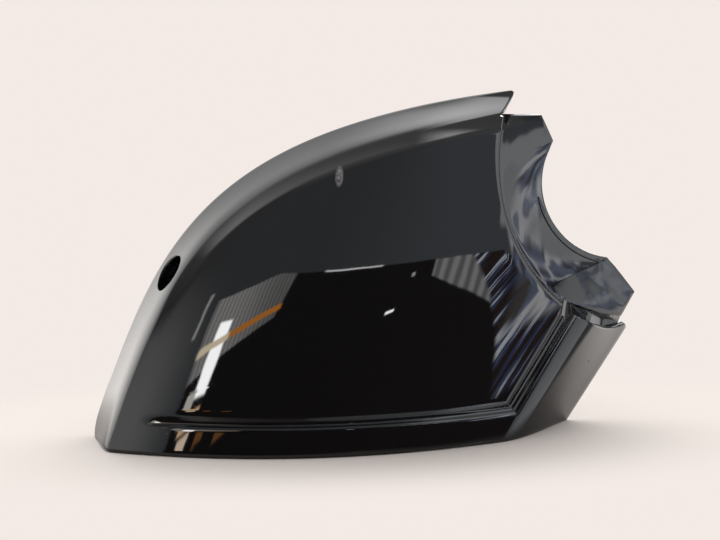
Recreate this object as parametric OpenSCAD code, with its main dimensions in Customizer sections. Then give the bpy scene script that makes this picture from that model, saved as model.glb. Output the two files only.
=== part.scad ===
/* [Overall form] */
// Width of the glass edge, from the outboard corner to the inboard corner
base_w = 226.5; // [200:0.5:250]
// Depth of the shell at the glass edge, from the lip back to the parting edge
rim_y0 = 57; // [52:0.5:62]
// How much deeper the parting edge lies for each millimetre of height
rim_rise = 0.05; // [0:0.01:0.1]
// Height of the shell at its inboard top corner
top_z = 156.9; // [145:0.5:165]
// Distance of the inboard top corner from the inboard corner of the glass edge
top_back = 21.3; // [15:0.5:30]
// Radius of the two upper corners, in front view
corner_r = 2.6; // [1.5:0.1:4]
// Radius of the low back corner at the outboard end, seen from the side
low_r = 12; // [6:0.5:16]
// Wall thickness of the moulding
wall = 2.6; // [2:0.1:3.2]

/* [Outer face] */
// Radius of the face in plan
plan_r = 218; // [190:1:260]
// Place of the foremost line of the face, from the outboard corner
crown_x = 104; // [90:0.5:115]
// How far that line leans inboard for each millimetre of height
crown_lean = 0.42; // [0.3:0.01:0.5]
// Slope of the face just above the glass edge
face_slope = 0.07; // [0.03:0.01:0.12]
// Extra slope of the face near its top
top_slope = 0.6; // [0.4:0.02:0.8]

/* [Shoulder band] */
// Width of the steep band next to the parting edge, in front view
band_w = 6.5; // [5:0.5:8]
// Width of the shoulder between the steep band and the face, in front view
roll_w = 10; // [7:0.5:13]
// Slope of the shoulder as a share of the band's slope, where it is flat between two creases
shoulder = 0.42; // [0.3:0.02:0.6]

/* [Lip and groove] */
// Radius of the bottom edge
edge_r = 2; // [1:0.1:2.4]
// Height of the lip, from the glass edge to the groove
lip_h = 13; // [10:0.5:15]
// Width of the groove
groove_w = 7; // [5:0.5:9]
// Depth of the groove
groove_d = 1.8; // [0.5:0.1:2.2]

/* [Inboard end] */
// Run of the inboard parting edge along its slant
side_l = 55.5; // [48:0.5:60]
// Lean of that edge from the vertical
side_lean = 33.2; // [28:0.2:38]
// Width of the curved inboard wall, in front view
side_w = 30.2; // [26:0.2:34]
// Radius of the recess round the pivot
recess_r = 79.5; // [72:0.5:86]
// Depth of the step from the face down to the pivot flange
step_h = 9; // [6:0.5:12]
// Radius of the cut-out for the pivot
pivot_r = 33.9; // [31:0.2:35]
// Distance of the flange's return below the upper end of the inboard wall
return_in = 3; // [2:0.5:5]

/* [Fittings] */
// Diameter of the round hole in the band
hole_d = 18.5; // [15:0.5:19.5]
// Place of the hole along the parting edge, as a share from its inboard end
hole_at = 0.65; // [0.61:0.005:0.69]
// Distance of the hole from the parting edge, in front view
hole_in = 5; // [4:0.1:5.5]
// Wall of the collar behind the hole
collar_t = 2.2; // [1.6:0.1:3]
// Length of the collar, measured from the outer face
collar_l = 9; // [7:0.5:12]
// Diameter of the screw bosses
boss_d = 9; // [7.5:0.5:11]
// Diameter of the pilot holes in the bosses
pilot_d = 3.4; // [2.5:0.1:4]
// Depth of the pilot holes
pilot_l = 14; // [8:0.5:18]
// Distance of the boss ends in front of the parting edge
boss_drop = 12; // [8:0.5:16]
// Width of the clip tabs on the parting edge
tab_w = 12; // [8:0.5:16]
// Thickness of the clip tabs
tab_t = 1.8; // [1.4:0.1:2]
// Reach of the clip tabs behind the parting edge
tab_out = 6; // [4:0.5:8]
// Width of the flange that turns in along the glass edge
frame_w = 8; // [6:0.5:12]
// Thickness of that flange
frame_t = 2; // [1.6:0.1:2.4]
// Thickness of the stiffening ribs
rib_t = 1.6; // [1.2:0.1:2]
// Height of the stiffening ribs above the inner face
rib_h = 6; // [4:0.5:8]

/* [Hidden] */
$fn = 64;

// Front view: x runs inboard, z up, and y back from the lip to the parting edge
corner_b = [-132, 0];
corner_c = [corner_b.x + base_w, 0];
side_t = [sin(side_lean), cos(side_lean)];
side_n = [-cos(side_lean), sin(side_lean)];
corner_a = [corner_c.x - top_back, top_z];
rim_pts = [corner_a, [-75.7, 142.2], [-97.9, 90.4], corner_b];
mid_y = 2.7;

function clamp01(v) = max(0, min(1, v));
function smooth(v) = let (c = clamp01(v)) c * c * (3 - 2 * c);
function mix(a, b, f) = a + (b - a) * f;
function unit(v) = v / norm(v);
function turn(v) = [-v.y, v.x];
function bez(p, t) = pow(1 - t, 3) * p[0] + 3 * pow(1 - t, 2) * t * p[1]
    + 3 * (1 - t) * t * t * p[2] + pow(t, 3) * p[3];
function bez_dir(p, t) = unit(pow(1 - t, 2) * (p[1] - p[0])
    + 2 * (1 - t) * t * (p[2] - p[1]) + t * t * (p[3] - p[2]));

// Outline of the parting edge as short chords, carried on below the glass edge
rim_n = 36;
rim_poly = [for (i = [0:rim_n]) bez(rim_pts, i / rim_n),
    corner_b + 30 * bez_dir(rim_pts, 1)];
function seg_d(p, a, b) = let (f = clamp01((p - a) * (b - a) / ((b - a) * (b - a)))) norm(p - mix(a, b, f));
function rim_dist(p) = min([for (i = [0:rim_n]) seg_d(p, rim_poly[i], rim_poly[i + 1])]);
function side_dist(p) = max(0, (p - corner_c) * side_n);

// Smooth outer face, the roll to the parting edge and the inboard wall
function rim_y(z) = rim_y0 + rim_rise * z;
function face_y(p) = let (x0 = corner_b.x + crown_x + crown_lean * p.y)
    mid_y + pow(p.x - x0, 2) / (2 * plan_r) + face_slope * p.y
    + top_slope * 140 / 3.3 * pow(max(0, p.y) / 140, 3.3);

// The band falls at one slope, then comes a crease, a flatter shoulder and a second crease. The shoulder
// runs out towards the outboard end, where one soft roll is left.
function shoulder_f(p) = smooth((p.y - 50) / 50);
function crease_a(p) = roll_w * mix(0.6, 0.3, shoulder_f(p));
crease_b = 0.2 * roll_w;
function roll_h(p) = let (s = shoulder * shoulder_f(p), a = crease_a(p))
    band_w + a * (1 + s) / 2 + (roll_w - a - crease_b) * s + crease_b * s / 2;
function roll(p, w) = let (s = shoulder * shoulder_f(p), a = crease_a(p), d = w - band_w)
    d < 0 ? roll_h(p) - w
    : d < a ? roll_h(p) - w + d * d * (1 - s) / (2 * a)
    : d < roll_w - crease_b ? s * (roll_w - crease_b / 2 - d)
    : d < roll_w ? s * pow(roll_w - d, 2) / (2 * crease_b) : 0;
function band_f(p) = roll(p, rim_dist(p)) / roll_h(p);
function side_f(p) = pow(clamp01(1 - side_dist(p) / side_w), 2.3);
function skin_y(p) = let (y0 = face_y(p), y1 = mix(y0, rim_y(p.y), side_f(p)))
    mix(y1, rim_y(p.y), band_f(p));
function skin_g(p) = let (e = 0.25) [(skin_y(p + [e, 0]) - skin_y(p - [e, 0])) / (2 * e),
    (skin_y(p + [0, e]) - skin_y(p - [0, e])) / (2 * e)];
function inward(g) = unit([-g.x, 1, -g.y]);

// Rings follow the outline: distances from the parting edge, from the glass edge and from the inboard edge
band_k = [0, 2.5, 5, 7.5, 9.5, 12, 14.5, 16.5, 18.5, 21, 24];
base_k = [for (f = [0, 30, 60, 90]) edge_r * (1 - cos(f)), 0.42 * lip_h, 0.72 * lip_h, lip_h,
    lip_h + 0.15 * groove_w, lip_h + 0.3 * groove_w, lip_h + 0.65 * groove_w, lip_h + groove_w];
side_k = [for (f = [0, 0.1, 0.23, 0.4, 0.6, 0.8, 1]) f * side_w,
    for (f = [0.15, 0.3, 0.65, 1]) side_w + f * (groove_w + 0.8)];
under_k = [for (f = [0, 30, 60, 90]) edge_r * (1 - sin(f)), 0, 0, 0, 0, 0, 0, 0];
groove_k = [0, 0, 0, 0, 0, 0, 0, 0.62, 1, 0.45, 0] * groove_d;
edge_n = len(band_k);
face_n = 6;

n_a = 28;
n_b = 32;
n_c = 12;
cols = n_a + n_b + n_c;
function span_a(i) = i <= n_a;
function span_b(i) = i > n_a && i <= n_a + n_b;

// Where ring k passes the outboard and the inboard corner of the glass edge
rim_end = bez_dir(rim_pts, 1);
rim_in = turn(rim_end);
function miter_b(k) = [corner_b.x + (band_k[k] - rim_in.y * base_k[k]) / rim_in.x, base_k[k]];
function miter_c(k) = [corner_c.x + (side_k[k] - side_n.y * base_k[k]) / side_n.x, base_k[k]];
function corner_in(d) = d < corner_r ? corner_r - sqrt(pow(corner_r, 2) - pow(corner_r - d, 2)) : 0;
// Upper end of the inboard wall: it rises to the parting edge, and drops beside the face's tip
side_rise = 7.5;
function side_top(d) = side_l - side_rise * (1 - pow(max(0, 1 - d / 14), 2))
    - 3 * smooth((d - side_w) / 2) - corner_in(d);

// Recess round the pivot: the face ends on this arc
recess_c = [corner_c.x + 47, 122];
function recess(f) = let (a = 162.7 + 66.6 * f) recess_c + recess_r * [cos(a), sin(a)];
function recess_d(p) = norm(p - recess_c) - recess_r;
function away(p) = unit(p - recess_c);

// The first column runs down the cut end of the band, then along the arc
k_arc = 4;
arc_a = 0.16;
arc_b = 0.4;
function arc_share(k) = k < edge_n
    ? arc_a * max(0, band_k[k] - band_k[k_arc]) / (band_k[edge_n - 1] - band_k[k_arc])
    : mix(arc_a, arc_b, (k - edge_n + 1) / face_n);
function end_pt(k) = k < k_arc ? mix(corner_a, recess(0), band_k[k] / band_k[k_arc])
    + corner_in(band_k[k]) * bez_dir(rim_pts, 0) : recess(arc_share(k));
function recess_f(i) = span_a(i) ? mix(arc_b, 0.62, i / n_a)
    : span_b(i) ? mix(0.62, 0.89, (i - n_a) / n_b)
    : mix(0.89, 1, (i - n_a - n_b) / n_c);

function rim_t(f) = f * mix(0.45, 1, smooth(f / 0.4));
function ring_a(k, t) = let (
    n = turn(bez_dir(rim_pts, t)), w = band_k[k],
    bend = (end_pt(k) - corner_a - w * turn(bez_dir(rim_pts, 0))) * (1 - smooth(t / 0.18)),
    slip = (miter_b(k) - corner_b - w * rim_in) * rim_end * pow(clamp01((t - 0.6) / 0.4), 2))
    bez(rim_pts, t) + w * n + bend + slip * bez_dir(rim_pts, t);
function ring_b(k, s) = let (f = s - 0.75 * sin(360 * s) / (2 * PI))
    mix(miter_b(k), miter_c(k), f);
function ring_c(k, q) = mix(miter_c(k),
    corner_c + side_k[k] * side_n + side_top(side_k[k]) * side_t, q);
function edge_pt(i, k) = span_a(i) ? ring_a(k, rim_t(i / n_a))
    : span_b(i) ? ring_b(k, (i - n_a) / n_b) : ring_c(k, (i - n_a - n_b) / n_c);
function face_pt(i, k) = k < edge_n ? edge_pt(i, k) : let (f = (k - edge_n + 1) / face_n,
    bulge = (end_pt(k) - mix(end_pt(edge_n - 1), recess(arc_b), f)) * pow(clamp01(1 - i / 5), 2))
    mix(edge_pt(i, edge_n - 1), recess(recess_f(i)), f) + bulge;

// Fading of the rounded glass edge and of the groove along the outline
function inboard(x) = smooth((x - corner_c.x + 45) / 15);
function base_part(p, i) = span_a(i) || !span_b(i) ? 0
    : smooth(min(p.x - corner_b.x - 2, corner_c.x - p.x) / 7) * mix(1, 0.35, inboard(p.x));
function groove_part(p, i) = span_a(i) ? 0 : smooth((p.x - corner_b.x - 30) / 18);

// Plan direction away from the outer face, level with the glass edge
function level_in(g) = unit([-g.x, 1]);
function grade(p, i, k) = skin_g(k > 0 ? p : mix(p, face_pt(i, 1), 0.35));
function outer_pt(i, k) = let (p = face_pt(i, k), y = skin_y(p), g = grade(p, i, k),
    u = level_in(g) * (k < 4 ? under_k[k] * base_part(p, i) : 0),
    q = inward(g) * (k < edge_n ? groove_k[k] * groove_part(p, i) : 0))
    [p.x + u.x + q.x, y + u.y + q.y, p.y + q.z];

// Inner side: one wall behind the outer one, and one wall clear of the recess
function pull(p, k) = away(p) * wall * clamp01(1 - recess_d(p) / 12) * clamp01((k - k_arc + 2) / 2);
function inner_pt(i, k) = k < 4 && i >= n_a && i <= n_a + n_b ? frame_pt(face_pt(i, k), k)
    : let (p0 = face_pt(i, k), p = p0 + pull(p0, k), y = skin_y(p), v = inward(grade(p, i, k)),
    t = wall + (k < edge_n ? 0.6 * groove_k[k] * groove_part(p, i) : 0),
    level = [v.x, v.z] * t / (v.x * v.x + v.z * v.z))
    k == 0 ? [p.x + level.x, y, p.y + level.y] : [p.x + v.x * t, y + v.y * t, p.y + v.z * t];

// Flat flange that turns in along the glass edge, which the part stands on
function frame_reach(p) = frame_w * mix(0.04, 1, smooth((min(p.x - corner_b.x, corner_c.x - p.x) - 8) / 16));
function frame_pt(p, k) = let (z = [0, frame_t, frame_t, frame_t + 1.2][k],
    end = p.x < corner_b.x + 1 ? 1 : p.x > corner_c.x - 1 ? -1 : 0,
    v = inward(skin_g([p.x + 1.2 * end, z + 0.3])), u = unit([v.x, v.y]), t = wall / norm([v.x, v.y]))
    k == 0 && end != 0 ? [p.x + t / u.x, rim_y(0), 0]
    : [p.x, skin_y([p.x, z]), z] + (t + (k < 2 ? frame_reach(p) : 0)) * [u.x, u.y, 0];

// Pivot flange: one step back from the face, then a plate out to the cut-out
pivot_c = [corner_c.x + 21.8, 114.2];
plate_n = 3;
cut_from = 155.7;
cut_to = 261.3;
flange_tip = [corner_c.x + 31.7, 61.8];
function cut_pt(a) = pivot_c + pivot_r * [cos(a), sin(a)];
low_f = recess_f(n_a + n_b + 9);
plate_f = [0, arc_share(9), arc_share(11), arc_share(13), recess_f(n_a + n_b + 1), recess_f(n_a + n_b + 3),
    recess_f(n_a + n_b + 6), low_f, 1];
plate_p = let (c = corner_c.x) [[c - 11.5, 145.7], [c - 9, 140], [c - 6.5, 134],
    cut_pt(cut_from), cut_pt(cut_to),
    [c + 21.2, 75.5], flange_tip, [c + 25.7, 49.9], [c + 5.7, 54.3]];
// The plate lies in one leaning plane down to its fold. Below the fold it turns back behind the
// inboard wall.
fold_at = [corner_c.x - 3.5, 67.2];
fold_n = unit([0.556, -0.831]);
fold_slope = 0.7;
function flange_y(p) = 36 + 0.17 * (p.y - 60) + fold_slope * max(0, (p - fold_at) * fold_n);
function flange_edge(f) = let (j = len([for (b = plate_f) if (b < f) b]), i = max(1, min(8, j)),
    q = clamp01((f - plate_f[i - 1]) / (plate_f[i] - plate_f[i - 1])))
    i == 4 ? cut_pt(mix(cut_from, cut_to, q)) : mix(plate_p[i - 1], plate_p[i], q);
function step_pt(f) = let (p = recess(f)) [p.x, skin_y(p) + step_h, p.y];
function flange_pt(f, j) = let (e = flange_edge(f)) mix(step_pt(f), [e.x, flange_y(e), e.y], j / plate_n);
function behind(f, j) = let (u = away(recess(f))) flange_pt(f, j) + wall * (j == 0 ? [u.x, 1, u.y] : [0, 1, 0]);

// Closed skin: grids of points for both sides, joined by strips along their borders
module shell() {
    nu = cols + 1;
    rings = edge_n + face_n;
    down = rings - 1 - k_arc;
    na = down + nu;
    m = rings * nu + (plate_n + 1) * na;
    function arc_i(j) = j < down ? (k_arc + j) * nu : (rings - 1) * nu + j - down;
    function arc_f(j) = j < down ? arc_share(k_arc + j) : recess_f(j - down);
    function plate_i(r, j) = r < 0 ? arc_i(j) : rings * nu + r * na + j;
    function quad(a, b, c, d) = [[a, b, c], [a, c, d]];
    outer = [for (k = [0:rings - 1]) for (i = [0:cols]) outer_pt(i, k),
        for (r = [0:plate_n]) for (j = [0:na - 1]) flange_pt(arc_f(j), r)];
    inner = [for (k = [0:rings - 1]) for (i = [0:cols]) inner_pt(i, k),
        for (r = [0:plate_n]) for (j = [0:na - 1]) behind(arc_f(j), r)];
    faces = [
        for (k = [0:rings - 2]) for (i = [0:cols - 1]) let (a = k * nu + i) each [
            each quad(a, a + nu, a + nu + 1, a + 1),
            each quad(m + a, m + a + 1, m + a + nu + 1, m + a + nu)],
        for (r = [0:plate_n]) for (j = [0:na - 2]) let (a = plate_i(r - 1, j), b = plate_i(r, j),
            c = plate_i(r, j + 1), d = plate_i(r - 1, j + 1)) each [
            each quad(a, b, c, d), each quad(m + a, m + d, m + c, m + b)],
        for (i = [0:cols - 1]) each quad(i, i + 1, m + i + 1, m + i),
        for (k = [0:k_arc - 1]) let (a = k * nu) each quad(a + nu, a, m + a, m + a + nu),
        for (k = [0:rings - 2]) let (a = k * nu + cols) each quad(a, a + nu, m + a + nu, m + a),
        for (j = [0:na - 2]) let (a = plate_i(plate_n, j)) each quad(a + 1, a, m + a, m + a + 1),
        for (r = [0:plate_n]) let (a = plate_i(r - 1, 0), b = plate_i(r, 0)) each quad(b, a, m + a, m + b),
        for (r = [0:plate_n]) let (a = plate_i(r - 1, na - 1), b = plate_i(r, na - 1))
            each quad(a, b, m + b, m + a),
    ];
    polyhedron(concat(outer, inner), faces, convexity = 12);
}

// Middle of the wall under a point of the front view, where ribs and bosses root
function root_y(p) = skin_y(p) + wall / 2 * norm([skin_g(p).x, skin_g(p).y, 1]);
function inside_y(p) = skin_y(p) + wall * norm([skin_g(p).x, skin_g(p).y, 1]);

// Upright bar between stations of the front view, rooted in the wall and free at the back
module bar(p, top, t) {
    n = len(p) - 1;
    side = turn(unit(p[n] - p[0])) * t / 2;
    pts = [for (i = [0:n]) each [
        [p[i].x + side.x, root_y(p[i] + side), p[i].y + side.y],
        [p[i].x - side.x, root_y(p[i] - side), p[i].y - side.y],
        [p[i].x - side.x, top[i], p[i].y - side.y],
        [p[i].x + side.x, top[i], p[i].y + side.y]]];
    polyhedron(pts, [[0, 1, 2], [0, 2, 3], [4 * n, 4 * n + 2, 4 * n + 1], [4 * n, 4 * n + 3, 4 * n + 2],
        for (i = [0:n - 1]) for (j = [0:3]) let (a = 4 * i + j, b = 4 * i + (j + 1) % 4)
            each [[a, a + 4, b + 4], [a, b + 4, b]]]);
}

// Return under the pivot flange: a strip that runs from the flange's lower edge back and down to the
// inboard wall, and closes the gap behind that wall's upper end
return_t = 1.8;
module flange_return() {
    u = away(recess(1)) * wall / 2;
    top = [flange_pt(1, 0) + [u.x, 0, u.y], for (r = [1:plate_n]) flange_pt(1, r),
        for (g = [1, 2, 3]) flange_pt(mix(1, low_f, g / 3), plate_n)];
    n = len(top) - 1;
    pts = [for (i = [0:n]) let (q = top[i], d = mix(side_w + 6.3, 4.5, i / n),
        p = corner_c + d * side_n + (side_top(d) - return_in) * side_t, y = inside_y(p) + 0.2) each [
        q + [0, 0.4, 1.2], q + [0, 0.4 + return_t, 1.2],
        [p.x, y + return_t / 2, p.y], [p.x, y - return_t / 2, p.y]]];
    polyhedron(pts, [[0, 2, 1], [0, 3, 2], [4 * n, 4 * n + 1, 4 * n + 2], [4 * n, 4 * n + 2, 4 * n + 3],
        for (i = [0:n - 1]) for (j = [0:3]) let (a = 4 * i + j, b = 4 * i + (j + 1) % 4)
            each [[a, b + 4, a + 4], [a, b, b + 4]]]);
}

// Stiffening rib with run-out ends, along the inside of the face
module rib(a, b, n) {
    p = [for (i = [0:n]) mix(a, b, i / n)];
    bar(p, [for (i = [0:n]) inside_y(p[i]) + (i == 0 || i == n ? 0.6 : rib_h)], rib_t);
}

// Screw boss with its gussets, standing on the inside of the face
boss_sides = 20;
module boss(p) {
    end = rim_y(p.y) - boss_drop;
    ring = [for (i = [0:boss_sides - 1]) let (a = 360 * i / boss_sides) p + boss_d / 2 * [cos(a), sin(a)]];
    polyhedron([for (q = ring) [q.x, root_y(q), q.y], for (q = ring) [q.x, end, q.y],
        [p.x, root_y(p), p.y], [p.x, end, p.y]],
        [for (i = [0:boss_sides - 1]) let (j = (i + 1) % boss_sides, n = boss_sides) each [
            [j, i, 2 * n], [2 * n + 1, i + n, j + n], [i + n, i, j + n], [j + n, i, j]]]);
    for (a = [45:90:315]) let (u = [cos(a), sin(a)], q = [for (f = [0, 0.45, 1]) p + f * (boss_d / 2 + 7) * u])
        bar(q, [end - 4, end - 4 - 0.1 * (end - skin_y(p)), inside_y(q[2]) + 0.8], rib_t);
}
module pilot(p) {
    translate([p.x, rim_y(p.y) - boss_drop - pilot_l, p.y])
        rotate([-90, 0, 0]) cylinder(d = pilot_d, h = pilot_l + 2);
}

// Round hole square to the band, with a collar behind it
hole_p = bez(rim_pts, hole_at) + hole_in * turn(bez_dir(rim_pts, hole_at));
hole_n = inward(skin_g(hole_p));
module at_hole() {
    translate([hole_p.x, skin_y(hole_p), hole_p.y])
        rotate([0, acos(hole_n.z), atan2(hole_n.y, hole_n.x)]) children();
}

// Clip tab with its window, on the inner side of the parting edge
module tab(t) {
    p = bez(rim_pts, t);
    u = turn(bez_dir(rim_pts, t));
    translate([p.x, rim_y(p.y), p.y]) rotate([0, -atan2(u.y, u.x), 0])
        translate([0.72 * wall, -3, -tab_w / 2]) difference() {
            cube([tab_t, 3 + tab_out, tab_w]);
            translate([-1, 4.2, tab_w / 4]) cube([tab_t + 2, tab_out - 2.7, tab_w / 2]);
        }
}

boss_at = [[corner_b.x + 52, 36], [corner_b.x + 94, 104], [corner_c.x - 42, 84], [corner_c.x - 48, 40]];
tab_at = [0.15, 0.34, 0.51, 0.82];
rib_x = [corner_b.x + 70, corner_b.x + 106, corner_b.x + 142];
rib_low = 26;
rib_high = 88;
rib_lean = 8;
rib_steps = 6;

// Rounding of the low back corner at the outboard end, as the block that is cut away there
module low_corner() {
    translate([corner_b.x - 5, rim_y0 - low_r, -1]) difference() {
        cube([30, low_r + 20, low_r + 1]);
        translate([-1, 0, low_r + 1]) rotate([0, 90, 0]) cylinder(r = low_r, h = 32);
    }
}

x_mid = (corner_b.x + flange_tip.x) / 2;
y_mid = (mid_y + rim_y(bez(rim_pts, tab_at[0]).y) + tab_out) / 2;

// The whole cover: one moulding
module lower_cover() {
    color([0.05, 0.05, 0.055]) translate([-x_mid, -y_mid, 0]) difference() {
        union() {
            shell();
            for (p = boss_at) boss(p);
            for (t = tab_at) tab(t);
            for (x = rib_x) rib([x, rib_low], [x + rib_lean, rib_high], rib_steps);
            flange_return();
            at_hole() translate([0, 0, wall / 2]) cylinder(d = hole_d + 2 * collar_t, h = collar_l - wall / 2);
        }
        for (p = boss_at) pilot(p);
        low_corner();
        at_hole() translate([0, 0, -6]) cylinder(d = hole_d, h = collar_l + 8);
    }
}

lower_cover();
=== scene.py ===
import math

import bpy
import numpy as np
from mathutils import Matrix, Vector


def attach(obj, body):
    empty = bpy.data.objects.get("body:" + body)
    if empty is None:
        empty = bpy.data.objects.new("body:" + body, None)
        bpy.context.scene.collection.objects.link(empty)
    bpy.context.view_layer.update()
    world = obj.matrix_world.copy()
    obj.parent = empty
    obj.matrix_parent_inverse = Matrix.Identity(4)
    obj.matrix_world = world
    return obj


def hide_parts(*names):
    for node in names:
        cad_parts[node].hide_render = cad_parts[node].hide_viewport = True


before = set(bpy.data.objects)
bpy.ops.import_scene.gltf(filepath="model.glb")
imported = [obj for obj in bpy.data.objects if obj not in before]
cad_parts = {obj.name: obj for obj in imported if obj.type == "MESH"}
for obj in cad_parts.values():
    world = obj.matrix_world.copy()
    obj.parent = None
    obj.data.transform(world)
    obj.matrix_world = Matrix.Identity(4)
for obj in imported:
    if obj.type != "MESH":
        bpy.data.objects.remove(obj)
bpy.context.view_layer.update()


# Camera
# A long lens, a little above the cover's middle and square to its outer face. The picture leans
# slightly, so the inboard end stands a little higher.
aim = Vector((0.0009, -0.02455, 0.083))
camera_distance = 0.75
camera_lift = math.radians(10)
camera_roll = math.radians(1.6)
back = Vector((0, -math.cos(camera_lift), math.sin(camera_lift)))
level_up = Vector((0, math.sin(camera_lift), math.cos(camera_lift)))
level_right = Vector((1, 0, 0))
right = level_right * math.cos(camera_roll) - level_up * math.sin(camera_roll)
up = level_up * math.cos(camera_roll) + level_right * math.sin(camera_roll)
camera_data = bpy.data.cameras.new("camera")
camera_data.lens = 85
camera_data.sensor_width = 36
camera_data.clip_start = 0.05
camera = bpy.data.objects.new("camera", camera_data)
bpy.context.scene.collection.objects.link(camera)
camera.matrix_world = Matrix.Translation(aim + back * camera_distance) @ Matrix(
    (right, up, back)).transposed().to_4x4()
bpy.context.scene.camera = camera


# Shape of the outer face
# One injection moulding in gloss black plastic. Its face is a shallow dome, and a steep band runs
# along the parting edge. Sizes are in millimetres, in the front view: x inboard, z up, y back.
base_w = 226.5
corner_b = np.array([-132.0, 0.0])
corner_c = corner_b + [base_w, 0]
corner_a = np.array([corner_c[0] - 21.3, 156.9])
rim_pts = [corner_a, np.array([-75.7, 142.2]), np.array([-97.9, 90.4]), corner_b]
rim_y0 = 57.0
rim_rise = 0.05
past_a, past_b = 20, 30


def smooth(v):
    c = np.clip(v, 0, 1)
    return c * c * (3 - 2 * c)


def unit(v):
    return v / np.linalg.norm(v, axis=-1, keepdims=True)


def rim(t):
    t = np.asarray(t, float)[..., None]
    p = rim_pts
    return (1 - t) ** 3 * p[0] + 3 * (1 - t) ** 2 * t * p[1] + 3 * (1 - t) * t * t * p[2] + t ** 3 * p[3]


def rim_dir(t):
    t = np.asarray(t, float)[..., None]
    p = rim_pts
    return unit((1 - t) ** 2 * (p[1] - p[0]) + 2 * (1 - t) * t * (p[2] - p[1]) + t * t * (p[3] - p[2]))


rim_line = np.concatenate([[corner_a - past_a * rim_dir(0.0)], rim(np.linspace(0, 1, 161)),
                           [corner_b + past_b * rim_dir(1.0)]])


def rim_dist(p):
    q = p.reshape(-1, 2)
    best = np.full(len(q), 1e9)
    for a, b in zip(rim_line[:-1], rim_line[1:]):
        ab = b - a
        f = np.clip((q - a) @ ab / (ab @ ab), 0, 1)
        e = q - (a + f[:, None] * ab)
        d = np.hypot(e[:, 0], e[:, 1])
        d = np.where(ab[0] * (q[:, 1] - a[1]) - ab[1] * (q[:, 0] - a[0]) < 0, -d, d)
        best = np.where(np.abs(d) < np.abs(best), d, best)
    return best.reshape(p.shape[:-1])


def rim_y(z):
    return rim_y0 + rim_rise * z


mid_y = 2.7
plan_r = 218.0
crown_x = 104.0
crown_lean = 0.42
face_slope = 0.07
top_slope = 0.6
top_span = 140
top_power = 3.3


def face_y(p):
    x0 = corner_b[0] + crown_x + crown_lean * p[..., 1]
    return (mid_y + (p[..., 0] - x0) ** 2 / (2 * plan_r) + face_slope * p[..., 1]
            + top_slope * top_span / top_power * (np.maximum(0, p[..., 1]) / top_span) ** top_power)


band_w = 6.5
roll_w = 10.0
shoulder = 0.42
shoulder_from, shoulder_span = 50, 50
crease_b = 0.2 * roll_w


def band(w, z):
    f = smooth((z - shoulder_from) / shoulder_span)
    s = shoulder * f
    a = roll_w * (0.6 - 0.3 * f)
    h = band_w + a * (1 + s) / 2 + (roll_w - a - crease_b) * s + crease_b * s / 2
    d = w - band_w
    return np.select([d < 0, d < a, d < roll_w - crease_b, d < roll_w],
                     [h - w, h - w + d * d * (1 - s) / (2 * a), s * (roll_w - crease_b / 2 - d),
                      s * (roll_w - d) ** 2 / (2 * crease_b)], 0) / h


side_lean = math.radians(33.2)
side_n = np.array([-math.cos(side_lean), math.sin(side_lean)])
side_w = 30.2
side_power = 2.3


def skin_y(p):
    side = (p - corner_c) @ side_n
    side_f = np.clip(1 - side / side_w, 0, None) ** side_power
    band_f = band(rim_dist(p), p[..., 1])
    y = face_y(p)
    y = y + (rim_y(p[..., 1]) - y) * side_f
    return y + (rim_y(p[..., 1]) - y) * band_f


def skin_g(p):
    e = 0.1
    ex, ez = np.array([e, 0]), np.array([0, e])
    return np.stack([skin_y(p + ex) - skin_y(p - ex), skin_y(p + ez) - skin_y(p - ez)], -1) / (2 * e)


def inward(g):
    return unit(np.stack([-g[..., 0], np.ones(g.shape[:-1]), -g[..., 1]], -1))


# Grid of the moulding
# Rows run from the parting edge, the glass edge and the inboard edge in towards the recess round the
# pivot. Columns run round the outline: down the parting edge, along the glass edge, up the inboard end.
edge_r = 2.0
lip_h = 13.0
groove_w = 7.0
groove_d = 1.8
groove_low = 0.3
groove_soft = (0.35, 0.3)
side_groove_w = groove_w + 0.8
band_reach = 24
recess_r = 79.5
recess_c = corner_c + [47, 122]
recess_from, recess_turn = 162.7, 66.6
recess_start = 9.5
edge_rows, lip_rows, groove_rows, face_rows = 8, 9, 15, 34


def ramp(v, soft):
    v = np.clip(v, 0, 1)
    top = 1 - soft
    return np.where(v < soft, v * v / (2 * soft),
                    np.where(v < top, v - soft / 2, top - (1 - v) ** 2 / (2 * soft))) / top


def turn(v):
    return np.stack([-v[..., 1], v[..., 0]], -1)


arc = np.radians(np.linspace(0, 90, edge_rows))
groove_v = np.linspace(0, 1, groove_rows + 1)[1:]
base_k = np.concatenate([edge_r * (1 - np.cos(arc)), np.linspace(edge_r, lip_h, lip_rows + 1)[1:],
                         lip_h + groove_w * groove_v])
under_k = np.concatenate([edge_r * (1 - np.sin(arc)), np.zeros(lip_rows + groove_rows)])
groove_section = np.where(groove_v < groove_low, ramp(groove_v / groove_low, groove_soft[0]),
                          1 - ramp((groove_v - groove_low) / (1 - groove_low), groove_soft[1]))
groove_k = groove_d * np.concatenate([np.zeros(edge_rows + lip_rows), groove_section])
edge_n = len(base_k)
side_k = np.concatenate([side_w * np.linspace(0, 1, edge_n - groove_rows), side_w + side_groove_w * groove_v])
band_k = band_reach * np.linspace(0, 1, edge_n)
n_a, n_b, n_c = 150, 150, 44
cols = n_a + n_b + n_c + 1
rows = edge_n + face_rows
rim_end = rim_dir(1.0)
rim_in = turn(rim_end)
miter_b = np.stack([corner_b[0] + (band_k - rim_in[1] * base_k) / rim_in[0], base_k], -1)
miter_c = np.stack([corner_c[0] + (side_k - side_n[1] * base_k) / side_n[0], base_k], -1)
k_arc = int(np.argmin(np.abs(band_k - recess_start)))
# Shares of the recess edge reached by the edge rows, the face rows and the two lower corners
arc_a, arc_b = 0.16, 0.4
share_b, share_c = 0.62, 0.89


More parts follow.
